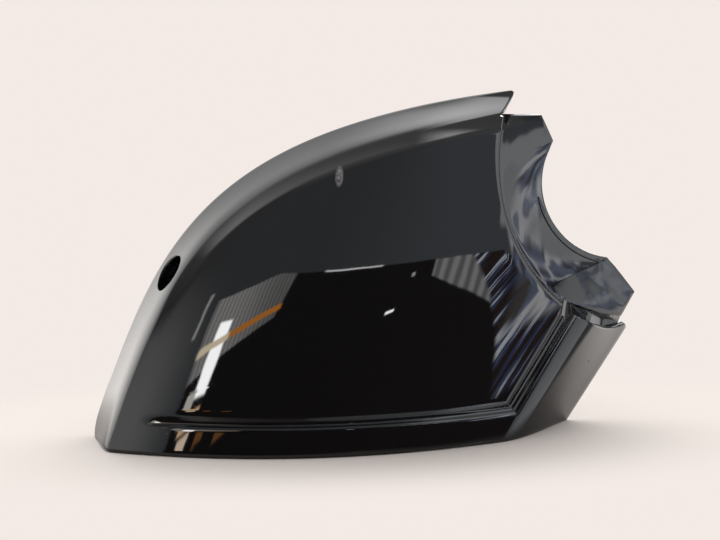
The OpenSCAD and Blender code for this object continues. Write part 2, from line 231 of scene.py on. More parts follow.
def recess(f, extra=0.0):
    a = np.radians(recess_from + recess_turn * np.asarray(f, float))
    return recess_c + (recess_r + extra) * np.stack([np.cos(a), np.sin(a)], -1)


# The inboard wall's upper end falls in a bow from its back edge, and drops where the wall meets the face
side_t = np.array([math.sin(side_lean), math.cos(side_lean)])
side_l = 55.5
side_rise = 7.5
side_bow = 14
side_drop = 3
side_drop_w = 2
corner_r = 2.6


def corner_in(d):
    short = np.clip(corner_r - d, 0, None)
    return np.where(d < corner_r, corner_r - np.sqrt(corner_r ** 2 - short ** 2), 0.0)


def side_top(d):
    return (side_l - side_rise * (1 - np.clip(1 - d / side_bow, 0, None) ** 2)
            - side_drop * smooth((d - side_w) / side_drop_w) - corner_in(d))


def share_down(k):
    past_arc = np.clip(band_k[np.minimum(k, edge_n - 1)] - band_k[k_arc], 0, None)
    return np.where(k < edge_n, arc_a * past_arc / (band_reach - band_k[k_arc]),
                    arc_a + (arc_b - arc_a) * (k - edge_n + 1) / face_rows)


arc_lip = 1.5
all_k = np.arange(rows)
down_f = share_down(all_k)
edge_d = band_k[np.minimum(all_k, edge_n - 1)]
down_pt = np.where((all_k < k_arc)[:, None],
                   corner_a + (recess(0, arc_lip) - corner_a) * np.clip(edge_d / band_k[k_arc], 0, 1)[:, None]
                   + corner_in(edge_d)[:, None] * rim_dir(0.0), recess(down_f, arc_lip))
col_i = np.arange(cols)
last_f = np.where(col_i <= n_a, arc_b + (share_b - arc_b) * col_i / n_a,
                  np.where(col_i <= n_a + n_b, share_b + (share_c - share_b) * (col_i - n_a) / n_b,
                           share_c + (1 - share_c) * (col_i - n_a - n_b) / n_c))

# Columns crowd towards the top of the parting edge and towards both lower corners
bend_share = 0.18
slip_from = 0.6
front = np.zeros((rows, cols, 2))
ta = np.arange(n_a + 1) / n_a
ta = ta * (0.45 + 0.55 * smooth(ta / 0.4))
rim_a, dir_a = rim(ta), rim_dir(ta)
dir_0 = turn(rim_dir(0.0))
tb = np.arange(1, n_b + 1) / n_b
tb = (tb - 0.7 * np.sin(2 * np.pi * tb) / (2 * np.pi))[:, None]
tc = (np.arange(1, n_c + 1) / n_c)[:, None]
for k in range(edge_n):
    bend = (down_pt[k] - corner_a - band_k[k] * dir_0) * (1 - smooth(ta / bend_share))[:, None]
    slip = ((miter_b[k] - corner_b - band_k[k] * rim_in) @ rim_end) * np.clip(
        (ta - slip_from) / (1 - slip_from), 0, 1) ** 2
    front[k, :n_a + 1] = rim_a + band_k[k] * turn(dir_a) + bend + slip[:, None] * dir_a
    front[k, n_a + 1:n_a + n_b + 1] = miter_b[k] + (miter_c[k] - miter_b[k]) * tb
    top_c = corner_c + side_k[k] * side_n + side_top(side_k[k]) * side_t
    front[k, n_a + n_b + 1:] = miter_c[k] + (top_c - miter_c[k]) * tc
for k in range(edge_n, rows):
    f = (k - edge_n + 1) / face_rows
    straight = down_pt[edge_n - 1] + (recess(arc_b, arc_lip) - down_pt[edge_n - 1]) * f
    bulge = (down_pt[k] - straight) * (np.clip(1 - col_i / (n_a * bend_share), 0, 1) ** 2)[:, None]
    front[k] = front[edge_n - 1] + (recess(last_f, arc_lip) - front[edge_n - 1]) * f + bulge

# The groove fades out at its outboard end. The rounded bottom edge fades at both lower corners, and it is
# tighter towards the inboard end.
fade_from, fade_span = 28, 28
corner_fade = 7
tight_from, tight_span, tight_by = 45, 15, 0.65
from_b = front[..., 0] - corner_b[0]
to_c = corner_c[0] - front[..., 0]
is_b = (col_i >= n_a) & (col_i <= n_a + n_b)
inset = front.copy()
inset[0] = front[0] + (front[1] - front[0]) * 0.5
grad = skin_g(inset)
groove = np.zeros(rows)
groove[:edge_n] = groove_k
groove_show = np.where(col_i <= n_a, 0.0, 1.0) * smooth((from_b - fade_from) / fade_span)
under = np.zeros(rows)
under[:edge_n] = under_k
inboard = smooth((tight_from - to_c) / tight_span)
under_show = is_b * smooth(np.minimum(from_b - 2, to_c) / corner_fade) * (1 - tight_by * inboard)
level = unit(np.stack([-grad[..., 0], np.ones(grad.shape[:-1]), np.zeros(grad.shape[:-1])], -1))
outer = np.stack([front[..., 0], skin_y(front), front[..., 1]], -1)
outer = (outer + level * (under[:, None] * under_show)[..., None]
         + inward(grad) * (groove[:, None] * groove_show)[..., None])


# Inner side of the wall
# The inside follows the face one wall behind it. Along the glass edge it carries a narrow flat flange,
# which the part stands on.
wall = 2.6
behind_groove = 0.6
# Near the recess edge the inside draws back by up to one wall, clear of the step behind it
pull_reach, pull_rows = 12, 4
past = np.linalg.norm(front - recess_c, axis=-1) - recess_r
row_k = all_k[:, None]
pull = wall * np.clip(1 - past / pull_reach, 0, 1) * np.clip((row_k - k_arc + pull_rows) / pull_rows, 0, 1)
pulled = front + unit(front - recess_c) * pull[..., None]
normal_in = inward(skin_g(np.where(row_k[..., None] > 0, pulled, inset)))
thick = wall + behind_groove * groove[:, None] * groove_show
inner = np.stack([pulled[..., 0], skin_y(pulled), pulled[..., 1]], -1) + normal_in * thick[..., None]
n0 = normal_in[0]
flat = np.stack([n0[:, 0], 0 * n0[:, 0], n0[:, 2]], -1)
inner[0] = outer[0] + flat * (wall / (n0[:, 0] ** 2 + n0[:, 2] ** 2))[:, None]
# Heights of the flange's rows and how far out each stands, as shares of its width. The wall's direction
# is read a little above each row, and at both ends a little inside it.
frame_w = 8.0
frame_t = 2.0
frame_end, frame_run, frame_least = 8, 16, 0.04
read_up, read_in = 0.3, 1.2
foot_z = frame_t + np.array([-frame_t, -0.4, 0, 0, 0, 0.3, 0.7, 1.1, 1.5])
foot_out = np.array([1, 1, 0.95, 0.5, 0.08, 0, 0, 0, 0])
for k, (z, out) in enumerate(zip(foot_z, foot_out)):
    p = front[k, n_a:n_a + n_b + 1]
    q = np.stack([p[:, 0], np.full(len(p), z)], -1)
    end = np.where(p[:, 0] < corner_b[0] + 1, read_in, np.where(p[:, 0] > corner_c[0] - 1, -read_in, 0))
    v = inward(skin_g(q + np.stack([end, np.full(len(p), read_up)], -1)))
    flat = np.stack([v[:, 0], v[:, 1]], -1)
    from_end = np.minimum(p[:, 0] - corner_b[0], corner_c[0] - p[:, 0])
    reach = frame_w * (frame_least + (1 - frame_least) * smooth((from_end - frame_end) / frame_run))
    reach = wall / np.linalg.norm(flat, axis=-1) + reach * out
    place = np.stack([p[:, 0], skin_y(q), q[:, 1]], -1)
    place[:, :2] += unit(flat) * reach[:, None]
    inner[k, n_a:n_a + n_b + 1] = place
for i in (n_a, n_a + n_b):
    inner[0, i] = outer[0, i] + [wall * (1 if i == n_a else -1), 0, 0]


# Pivot flange
# The face ends at a rounded edge round the pivot. One step behind it lies the flange with the round
# cut-out and two small nicks, and its lower end is folded back.
pivot_c = corner_c + [21.8, 114.2]
pivot_r = 33.9
cut_from, cut_to = 155.7, 261.3
step_h = 9.0
foot_r = 1.2
flange_at, flange_lean, flange_z0 = 36, 0.17, 60
fold_at = corner_c + [-3.5, 67.2]
fold_n = unit(np.array([0.556, -0.831]))
fold_slope = 0.7


def cut_pt(a):
    a = np.radians(a)
    return pivot_c + pivot_r * np.stack([np.cos(a), np.sin(a)], -1)


# Corners of the flange's free edge and their shares of the recess edge. The cut-out runs from
# the fourth to the fifth.
c = corner_c[0]
plate_f = [0, 0.127, 0.2, 0.28, 0.8992, 0.9175, 0.945, 0.9725, 1]
plate_p = [np.array(p) for p in (
    (c - 11.5, 145.7), (c - 9, 140), (c - 6.5, 134), cut_pt(cut_from), cut_pt(cut_to),
    (c + 21.2, 75.5), (c + 31.7, 61.8), (c + 25.7, 49.9), (c + 5.7, 54.3))]
plate_share = np.concatenate([down_f[k_arc:rows - 1], last_f])
for f in plate_f[1:-1]:
    plate_share[np.argmin(np.abs(plate_share - f))] = f
edge_2d = np.array([
    cut_pt(cut_from + (cut_to - cut_from) * (f - plate_f[3]) / (plate_f[4] - plate_f[3]))
    if plate_f[3] < f < plate_f[4] else
    np.array([np.interp(f, plate_f, [p[0] for p in plate_p]), np.interp(f, plate_f, [p[1] for p in plate_p])])
    for f in plate_share])
flange_y = (flange_at + flange_lean * (edge_2d[:, 1] - flange_z0)
            + fold_slope * np.clip((edge_2d - fold_at) @ fold_n, 0, None))
edge_3d = np.stack([edge_2d[:, 0], flange_y, edge_2d[:, 1]], -1)
on_arc = recess(plate_share)
out_2d = unit(on_arc - recess_c)
away = np.stack([out_2d[:, 0], 0 * out_2d[:, 0], out_2d[:, 1]], -1)
arc_3d = np.stack([on_arc[:, 0], skin_y(on_arc), on_arc[:, 1]], -1)
y_dir = np.array([0, 1, 0])
plate_rows, plate_back = [], []
for a in np.radians(np.linspace(15, 90, 6)):
    edge_y = skin_y(on_arc + out_2d * arc_lip * (1 - math.sin(a))) + arc_lip * (1 - math.cos(a))
    plate_rows.append(np.stack([on_arc[:, 0], edge_y, on_arc[:, 1]], -1) + away * arc_lip * (1 - math.sin(a)))
for d in (0.35, 0.7, 1):
    plate_rows.append(arc_3d + y_dir * (arc_lip + (step_h - foot_r - arc_lip) * d))
for a in np.radians(np.linspace(22.5, 90, 4)):
    plate_rows.append(arc_3d - away * foot_r * (1 - math.cos(a))
                      + y_dir * (step_h - foot_r * (1 - math.sin(a))))
wall_n = len(plate_rows)
foot = plate_rows[-1]
plate_n = 16
for j in range(1, plate_n + 1):
    plate_rows.append(foot + (edge_3d - foot) * j / plate_n)
step_back = arc_3d + wall * away + (wall + step_h) * y_dir
arc_inner = np.concatenate([inner[k_arc:rows - 1, 0], inner[rows - 1]])
for j in range(1, wall_n + 1):
    plate_back.append(arc_inner + (step_back - arc_inner) * j / wall_n)
for j in range(1, plate_n + 1):
    plate_back.append(step_back + (edge_3d + wall * y_dir - step_back) * j / plate_n)


# The closed skin
# Both sides are joined along their borders into one closed skin, and the borders get the small
# rounding that the mould leaves. It is wider at the upper end of the inboard wall.
shift = np.array([2.9, -36.5444, 0.0])
edge_round = 1.0
fine_edge = 0.45
plate_cols = len(plate_share)
plate_rows = np.array(plate_rows)
plate_back = np.array(plate_back)
skin_pts = np.concatenate([outer.reshape(-1, 3), plate_rows.reshape(-1, 3),
                           inner.reshape(-1, 3), plate_back.reshape(-1, 3)])
one_side = rows * cols + plate_rows.shape[0] * plate_cols
grid_id = np.arange(rows * cols).reshape(rows, cols)
plate_id = np.concatenate([np.concatenate([grid_id[k_arc:rows - 1, 0], grid_id[rows - 1]])[None],
                           rows * cols + np.arange(plate_rows.shape[0] * plate_cols).reshape(-1, plate_cols)])


def quads(g):
    return np.stack([g[:-1, :-1], g[:-1, 1:], g[1:, 1:], g[1:, :-1]], -1).reshape(-1, 4)


def strip(line):
    return np.stack([line[1:], line[:-1], line[:-1] + one_side, line[1:] + one_side], -1)


def only(piece):
    bpy.ops.object.select_all(action="DESELECT")
    piece.select_set(True)
    bpy.context.view_layer.objects.active = piece


def linked(name, data):
    piece = bpy.data.objects.new(name, data)
    bpy.context.scene.collection.objects.link(piece)
    return piece


borders = [grid_id[0], grid_id[:k_arc + 1, 0][::-1], grid_id[:, -1], plate_id[-1][::-1],
           plate_id[:, 0][::-1], plate_id[:, -1]]
faces = [quads(grid_id), quads(plate_id)]
faces += [quads(grid_id)[:, ::-1] + one_side, quads(plate_id)[:, ::-1] + one_side]
faces += [strip(line) for line in borders]
skin_mesh = bpy.data.meshes.new("lower_cover_skin")
skin_mesh.from_pydata(((skin_pts + shift) / 1000).tolist(), [], np.concatenate(faces).tolist())
cover = linked("lower_cover_skin", skin_mesh)
weight = skin_mesh.attributes.new("bevel_weight_edge", "FLOAT", "EDGE")
round_pairs = {}
for n, line in enumerate(borders):
    for a, b in zip(line[:-1].tolist(), line[1:].tolist()):
        foot_edge = n == 0 and n_a <= a < n_a + n_b
        if not foot_edge:
            round_pairs[min(a, b), max(a, b)] = 1.0 if n == 2 else fine_edge
        round_pairs[min(a, b) + one_side, max(a, b) + one_side] = fine_edge
for edge in skin_mesh.edges:
    a, b = edge.vertices
    weight.data[edge.index].value = round_pairs.get((min(a, b), max(a, b)), 0)
skin_mesh.polygons.foreach_set("use_smooth", [True] * len(skin_mesh.polygons))
only(cover)
bevel = cover.modifiers.new("edge_rounding", "BEVEL")
bevel.limit_method = "WEIGHT"
bevel.width = edge_round / 1000
bevel.segments = 3
bevel.use_clamp_overlap = False
bpy.ops.object.modifier_apply(modifier=bevel.name)


# Round hole and low corner
# The hole is moulded square to the band, with its edge broken. The low back corner at the outboard end is
# rounded, seen from the side.
hole_r = 9.25
hole_at = 0.65
hole_in = 5.0
circle_n = 96
broken_out, broken_in, broken_l = 2, 0.5, 2.5
low_r = 12.0
low_w = 30
low_x = corner_b[0] + 10
hole_2d = rim(hole_at) + hole_in * turn(rim_dir(hole_at))
hole_n = Vector(inward(skin_g(hole_2d)))
hole_p = Vector((hole_2d[0], float(skin_y(hole_2d)), hole_2d[1])) + Vector(shift)
hole_turn = hole_n.to_track_quat("Z", "Y").to_euler()


def placed(kind, size, centre, turned=(0, 0, 0), **more):
    bpy.ops.object.select_all(action="DESELECT")
    where = [v / 1000 for v in centre]
    if kind == "cube":
        bpy.ops.mesh.primitive_cube_add(size=1, location=where, rotation=turned)
        bpy.context.active_object.scale = [v / 1000 for v in size]
    else:
        bpy.ops.mesh.primitive_cylinder_add(radius=size[0] / 1000, depth=size[1] / 1000, location=where,
                                            rotation=turned, **more)
    bpy.ops.object.transform_apply(location=True, rotation=True, scale=True)
    return bpy.context.active_object


def cut(piece, tool, keep=False):
    only(piece)
    modifier = piece.modifiers.new("cut", "BOOLEAN")
    modifier.operation = "DIFFERENCE"
    modifier.solver = "EXACT"
    modifier.object = tool
    bpy.ops.object.modifier_apply(modifier=modifier.name)
    if not keep:
        bpy.data.objects.remove(tool)


low_block = placed("cube", (low_w, low_r + 20, low_r + 1),
                   (low_x + shift[0], rim_y0 - low_r / 2 + 10 + shift[1], (low_r - 1) / 2))
cut(low_block, placed("cylinder", (low_r, low_w + 2), (low_x + shift[0], rim_y0 - low_r + shift[1], low_r),
                      (0, math.pi / 2, 0), vertices=circle_n))
cut(cover, low_block)
hole_tool = placed("cylinder", (hole_r, 18), hole_p + hole_n * 3, hole_turn, vertices=circle_n)
cut(cover, hole_tool, keep=True)
bpy.ops.object.select_all(action="DESELECT")
bpy.ops.mesh.primitive_cone_add(vertices=circle_n, radius1=(hole_r + broken_out) / 1000,
                                radius2=(hole_r - broken_in) / 1000, depth=broken_l / 1000,
                                location=(hole_p - hole_n * 0.35) / 1000, rotation=hole_turn)
cut(cover, bpy.context.active_object)


# Gloss black plastic
# Dyed through and moulded against a polished tool, so it is black with a hard, clear shine. It carries fine
# dust, faint wiping marks, one pale scuff on the face and small chips on the inboard end. The pivot flange
# was moulded against a rougher, wavy tool face.
black = bpy.data.materials.new("gloss_black_plastic")
black.use_nodes = True
nodes, links = black.node_tree.nodes, black.node_tree.links
plastic = nodes["Principled BSDF"]
plastic.inputs["IOR"].default_value = 1.5


def maths(kind, *values):
    node = nodes.new("ShaderNodeMath")
    node.operation = kind
    for socket, value in zip(node.inputs, values):
        if isinstance(value, (int, float)):
            socket.default_value = value
        else:
            links.new(value, socket)
    return node.outputs[0]


def times(a, b):
    return maths("MULTIPLY", a, b)


def plus(a, b):
    return maths("ADD", a, b)


def less(a, b):
    return maths("SUBTRACT", a, b)


def step(value, low, high, to=1.0):
    node = nodes.new("ShaderNodeMapRange")
    node.interpolation_type = "SMOOTHSTEP"
    links.new(value, node.inputs["Value"])
    node.inputs["From Min"].default_value = low
    node.inputs["From Max"].default_value = high
    node.inputs["To Max"].default_value = to
    return node.outputs[0]


def blend(mask, under, over):
    node = nodes.new("ShaderNodeMix")
    node.data_type = "RGBA"
    links.new(mask, node.inputs["Factor"])
    for value, name in ((under, "A_Color"), (over, "B_Color")):
        socket = next(i for i in node.inputs if i.identifier == name)
        if isinstance(value, tuple):
            socket.default_value = (*value, 1)
        else:
            links.new(value, socket)
    return next(o for o in node.outputs if o.identifier == "Result_Color")


def noise(vector, scale, detail=2.0, rough=0.5):
    node = nodes.new("ShaderNodeTexNoise")
    links.new(vector, node.inputs["Vector"])
    node.inputs["Scale"].default_value = scale
    node.inputs["Detail"].default_value = detail
    node.inputs["Roughness"].default_value = rough
    return node.outputs["Fac"]


def stretched(vector, scale=(1, 1, 1), turned=(0, 0, 0), moved=(0, 0, 0)):
    node = nodes.new("ShaderNodeMapping")
    node.vector_type = "TEXTURE"
    links.new(vector, node.inputs["Vector"])
    node.inputs["Location"].default_value = moved
    node.inputs["Rotation"].default_value = turned
    node.inputs["Scale"].default_value = scale
    return node.outputs[0]


def apart(vector):
    node = nodes.new("ShaderNodeVectorMath")
    node.operation = "LENGTH"
    links.new(vector, node.inputs[0])
    return node.outputs["Value"]


def split(vector):
    node = nodes.new("ShaderNodeSeparateXYZ")
    links.new(vector, node.inputs[0])
    return [node.outputs[axis] for axis in "XYZ"]


def joined(x, y):
    node = nodes.new("ShaderNodeCombineXYZ")
    links.new(x, node.inputs["X"])
    links.new(y, node.inputs["Y"])
    return node.outputs[0]


def bump(height, distance, strength):
    node = nodes.new("ShaderNodeBump")
    node.inputs["Distance"].default_value = distance
    links.new(height, node.inputs["Height"])
    if isinstance(strength, float):
        node.inputs["Strength"].default_value = strength
    else:
        links.new(strength, node.inputs["Strength"])
    return node


place = nodes.new("ShaderNodeTexCoord").outputs["Object"]
# Dust: specks in about one cell of ten, and a thin film that gathers in patches
cells = nodes.new("ShaderNodeTexVoronoi")
links.new(place, cells.inputs["Vector"])
cells.inputs["Scale"].default_value = 420
speck_pick = maths("GREATER_THAN", noise(cells.outputs["Position"], 900, 0), 0.66)
specks = times(step(cells.outputs["Distance"], 0.09, 0.03), speck_pick)
film = times(step(noise(place, 900, 3, 0.7), 0.5, 0.8), step(noise(place, 22, 3), 0.4, 0.7))


# Scuff on the face and chips on the inboard end, each at its place
def patch(at, size, leaning_by, solid):
    return step(apart(stretched(place, size, (0, leaning_by, 0), at)), 1.0, solid)


scuff = patch((-0.0072, -0.0064, 0.1224), (0.0022, 0.02, 0.0052), 0.1, 0.5)
scuff = times(scuff, step(noise(place, 1300, 3, 0.8), 0.38, 0.55))
chips = patch((0.0799, -0.0064, 0.0077), (0.0024, 0.02, 0.0006), 0.3, 0.7)
for at, size in (((0.1062, 0.0097, 0.0307), 0.0007), ((0.1183, 0.0201, 0.0354), 0.0005)):
    chips = maths("MAXIMUM", chips, patch(at, (size, 0.02, size), 0, 0.6))
pale = maths("MAXIMUM", times(specks, 0.25), times(scuff, 0.8))
tone = blend(film, (0.0045, 0.0045, 0.005), (0.011, 0.011, 0.012))
links.new(blend(pale, tone, (0.3, 0.3, 0.31)), plastic.inputs["Base Color"])
wipes = step(noise(stretched(place, (0.02, 0.02, 0.0012), (0, 0.9, 0)), 1, 4, 0.7), 0.45, 0.75)
rough = plus(times(film, 0.05), times(wipes, 0.02))
rough = plus(plus(rough, 0.02), times(maths("MAXIMUM", pale, chips), 0.5))
# Waves of the flange run round the pivot, and a faint long wave lies in the whole moulding
from_pivot = stretched(place, moved=((recess_c[0] + shift[0]) / 1000, 0, recess_c[1] / 1000))
pivot_x, _, pivot_z = split(from_pivot)
reach_out = maths("SQRT", plus(maths("POWER", pivot_x, 2), maths("POWER", pivot_z, 2)))
on_flange = step(reach_out, (recess_r - 0.5) / 1000, (recess_r - 3) / 1000)
links.new(plus(rough, times(on_flange, 0.07)), plastic.inputs["Roughness"])
round_it = maths("ARCTAN2", pivot_z, times(pivot_x, -1))
waves_at = joined(plus(times(reach_out, 90), times(round_it, 2)), times(round_it, 3))
waves = less(times(noise(waves_at, 1.0, 1, 0.4), 0.3), times(pivot_x, 60))
wave_bump = bump(waves, 0.0035, times(on_flange, 0.6))
marks = plus(plus(noise(place, 60, 1), times(specks, 0.6)), times(plus(scuff, chips), -0.4))
fine_bump = bump(marks, 0.00006, 0.5)
links.new(wave_bump.outputs[0], fine_bump.inputs["Normal"])
links.new(fine_bump.outputs[0], plastic.inputs["Normal"])


def mould(piece, name, angle=40):
    piece.name = name
    piece.data.name = name
    piece.data.materials.clear()
    piece.data.materials.append(black)
    only(piece)
    bpy.ops.object.shade_smooth_by_angle(angle=math.radians(angle))
    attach(piece, "root")


mould(cover, "lower_cover_skin")
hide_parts("lower_cover")


# Collar of the round hole
# A short tube moulded with the wall, which guides what passes through the hole.
collar_t = 2.2
collar_l = 9.0
soft_edge = 0.3
collar = placed("cylinder", (hole_r + collar_t, collar_l - wall / 2),
                hole_p + hole_n * (collar_l + wall / 2) / 2, hole_turn, vertices=circle_n)
cut(collar, hole_tool)


def soften(piece):
    only(piece)
    modifier = piece.modifiers.new("soft_edges", "BEVEL")
    modifier.limit_method = "ANGLE"
    modifier.angle_limit = math.radians(30)
    modifier.width = soft_edge / 1000
    modifier.segments = 2
    bpy.ops.object.modifier_apply(modifier=modifier.name)


soften(collar)
mould(collar, "hole_collar")


# Screw bosses with gussets
# Four posts with pilot bores stand on the inside of the face, each held by four thin gussets.
boss_r = 4.5
pilot_r = 1.7
pilot_l = 14.0
boss_drop = 12.0
gusset_t = 1.6
gusset_out = 7
gusset_drop = 4
gusset_mid, gusset_sag, gusset_foot = 0.45, 0.1, 0.8
boss_at = [corner_b + [52, 36], corner_b + [94, 104], corner_c + [-42, 84], corner_c + [-48, 40]]


def root_y(p, depth=0.5):
    g = skin_g(p)
    return skin_y(p) + depth * wall * np.sqrt(1 + (g ** 2).sum(-1))


def four_sided(name, lines):
    pts = np.stack(lines, 1).reshape(-1, 3)
    last = len(pts) - 4
    sides = [(0, 1, 2, 3), (last + 3, last + 2, last + 1, last)]
    for i in range(0, last, 4):
        sides += [(i + j, i + j + 4, i + (j + 1) % 4 + 4, i + (j + 1) % 4) for j in range(4)]
    data = bpy.data.meshes.new(name)
    data.from_pydata(((pts + shift) / 1000).tolist(), [], sides)
    piece = linked(name, data)
    only(piece)
    bpy.ops.object.mode_set(mode="EDIT")
    bpy.ops.mesh.select_all(action="SELECT")
    bpy.ops.mesh.normals_make_consistent(inside=False)
    bpy.ops.object.mode_set(mode="OBJECT")
    return piece


def bar(name, p, top, thick):
    side = turn(unit(p[-1] - p[0])) * thick / 2
    left, far = p + side, p - side
    piece = four_sided(name, [np.stack([left[:, 0], root_y(left), left[:, 1]], -1),
                              np.stack([far[:, 0], root_y(far), far[:, 1]], -1),
                              np.stack([far[:, 0], top, far[:, 1]], -1),
                              np.stack([left[:, 0], top, left[:, 1]], -1)])
    soften(piece)
    mould(piece, name)


for n, p in enumerate(boss_at, 1):
    end = rim_y(p[1]) - boss_drop
    start = float(skin_y(p))
    boss = placed("cylinder", (boss_r, end - start), (p[0] + shift[0], (start + end) / 2 + shift[1], p[1]),
                  (-math.pi / 2, 0, 0), vertices=40)
    end_m = (end + shift[1]) / 1000
    for v in boss.data.vertices:
        if v.co.y < end_m - 0.001:
            v.co.y = (float(root_y(np.array([v.co.x * 1000 - shift[0], v.co.z * 1000]))) + shift[1]) / 1000
    bpy.ops.object.mode_set(mode="EDIT")
    bpy.ops.mesh.select_mode(type="FACE")
    bpy.ops.mesh.select_all(action="DESELECT")
    bpy.ops.object.mode_set(mode="OBJECT")
    for face in boss.data.polygons:
        face.select = face.normal.y > 0.9 and face.center.y > end_m - 0.0001
    bpy.ops.object.mode_set(mode="EDIT")
    bpy.ops.mesh.inset(thickness=(boss_r - pilot_r) / 1000)
    bpy.ops.mesh.extrude_region_move(TRANSFORM_OT_translate={"value": (0, -pilot_l / 1000, 0)})
    bpy.ops.object.mode_set(mode="OBJECT")
    soften(boss)
    mould(boss, f"screw_boss_{n}")
    for quarter in range(4):
        a = math.radians(45 + 90 * quarter)
        reach = np.array([boss_r - 1, gusset_mid * (boss_r + gusset_out), boss_r + gusset_out])
        q = p + reach[:, None] * [math.cos(a), math.sin(a)]
        tops = [end - gusset_drop, end - gusset_drop - gusset_sag * (end - start),
                float(root_y(q[2], 1)) + gusset_foot]
        bar(f"gusset_{n}_{quarter + 1}", q, np.array(tops), gusset_t)


# Stiffening ribs
# Three thin ribs run up the inside of the face, with run-out ends.
rib_t = 1.6
rib_h = 6.0
rib_low_h = 0.6
rib_low, rib_high, rib_lean = 26, 88, 8
rib_steps = 18
rib_run_out = 1 / 6
for n, x in enumerate((70, 106, 142), 1):
    f = np.linspace(0, 1, rib_steps + 1)
    p = np.stack([corner_b[0] + x + rib_lean * f, rib_low + (rib_high - rib_low) * f], -1)
    rise = rib_low_h + (rib_h - rib_low_h) * np.clip(np.minimum(f, 1 - f) / rib_run_out, 0, 1)
    bar(f"rib_{n}", p, root_y(p, 1) + rise, rib_t)


# Clip tabs
# Four flat tabs with windows stand on the inner side of the parting edge and snap into the upper cover.
tab_w = 12.0
tab_t = 1.8
tab_out = 6.0
tab_root = 3
tab_y = 0.72 * wall + tab_t / 2
window_l = tab_out - 2.7
window_from = 1.2
tab = placed("cube", (tab_t, tab_root + tab_out, tab_w), (tab_y, (tab_out - tab_root) / 2, 0))
cut(tab, placed("cube", (tab_t + 2, window_l, tab_w / 2), (tab_y, window_from + window_l / 2, 0)))
soften(tab)
for n, t in enumerate((0.15, 0.34, 0.51, 0.82), 1):
    p, u = rim(t), turn(rim_dir(t))
    copy = linked(f"clip_tab_{n}", tab.data.copy())
    spot = Vector((p[0], float(rim_y(p[1])), p[1])) + Vector(shift)
    copy.data.transform(Matrix.Translation(spot / 1000) @ Matrix.Rotation(-math.atan2(u[1], u[0]), 4, "Y"))
    mould(copy, f"clip_tab_{n}")
bpy.data.objects.remove(tab)


# Return under the pivot flange
# A strip turns from the flange's lower edge back to the inboard wall, and closes the gap behind that
# wall's upper end.
return_t = 1.8
return_in = 3.0
return_from = side_w + 6.3
return_to = 4.5
return_up, return_back, return_lift = 1.2, 0.4, 0.2
low_f = plate_f[-2]
edge_cols = np.where(plate_share >= low_f)[0][::-1]
foot_line = plate_rows[wall_n - 1:, -1]
tip_line = plate_rows[-1, edge_cols[1:]]
along = np.concatenate([np.linspace(0, 0.5, len(foot_line)),
                        0.5 + 0.5 * (1 - plate_share[edge_cols[1:]]) / (1 - low_f)])
top_line = np.concatenate([foot_line, tip_line])
top_line[0] = top_line[0] + away[-1] * wall / 2
d = return_from + (return_to - return_from) * along
low_2d = corner_c + d[:, None] * side_n + (side_top(d) - return_in)[:, None] * side_t
low_y = root_y(low_2d, 1) + return_lift
strip_piece = four_sided("flange_return", [
    top_line + [0, return_back, return_up], top_line + [0, return_back + return_t, return_up],
    np.stack([low_2d[:, 0], low_y + return_t / 2, low_2d[:, 1]], -1),
    np.stack([low_2d[:, 0], low_y - return_t / 2, low_2d[:, 1]], -1)])
mould(strip_piece, "flange_return")


# Bead beside the pivot cut-out
# A fine raised line follows the cut-out a little way in from its edge, as the mould left it.
bead_in = 2.3
bead_r = 0.45
bead_from = 188
bead_a = np.radians(np.linspace(bead_from, cut_to - 1, 40))
bead_line = pivot_c + (pivot_r + bead_in) * np.stack([np.cos(bead_a), np.sin(bead_a)], -1)
flat_rows = plate_rows[wall_n - 1:].reshape(-1, 3)
bead_pts = []
for q in bead_line:
    near = flat_rows[np.argsort(np.hypot(flat_rows[:, 0] - q[0], flat_rows[:, 2] - q[1]))[:12]]
    fit = np.linalg.lstsq(np.c_[near[:, 0], near[:, 2], np.ones(12)], near[:, 1], rcond=None)[0]
    bead_pts.append([q[0], fit @ [q[0], q[1], 1], q[1]])
bead_curve = bpy.data.curves.new("pivot_bead", "CURVE")
bead_curve.dimensions = "3D"
bead_curve.bevel_depth = bead_r / 1000
bead_curve.bevel_resolution = 3
bead_curve.use_fill_caps = True
spline = bead_curve.splines.new("POLY")
spline.points.add(len(bead_pts) - 1)
for point, q in zip(spline.points, bead_pts):
    point.co = (*((np.array(q) + shift) / 1000), 1)
only(linked("pivot_bead", bead_curve))
bpy.ops.object.convert(target="MESH")
mould(bpy.context.active_object, "pivot_bead", 60)


# Floor
# A wide seamless sheet of pale paper. It is evenly bright away from the cover and takes its soft shadow.
# In the gloss of the plastic it ends a little way in front, where the room is dark. Elsewhere it carries a
# painted glow, seen only in the gloss, which grows brighter towards the right and towards the back.
bpy.ops.object.select_all(action="DESELECT")
bpy.ops.mesh.primitive_plane_add(size=160, location=(0, 0, 0))
floor = bpy.context.active_object
floor.name = "floor"
paper = bpy.data.materials.new("pale_paper")
paper.use_nodes = True
nodes, links = paper.node_tree.nodes, paper.node_tree.links
sheet = nodes["Principled BSDF"]
sheet.inputs["Base Color"].default_value = (0.86, 0.80, 0.765, 1)
sheet.inputs["Roughness"].default_value = 0.9
sheet.inputs["Specular IOR Level"].default_value = 0.1


def mixed(mask, under, over):
    node = nodes.new("ShaderNodeMixShader")
    links.new(mask, node.inputs["Fac"])
    links.new(under, node.inputs[1])
    links.new(over, node.inputs[2])
    return node.outputs[0]


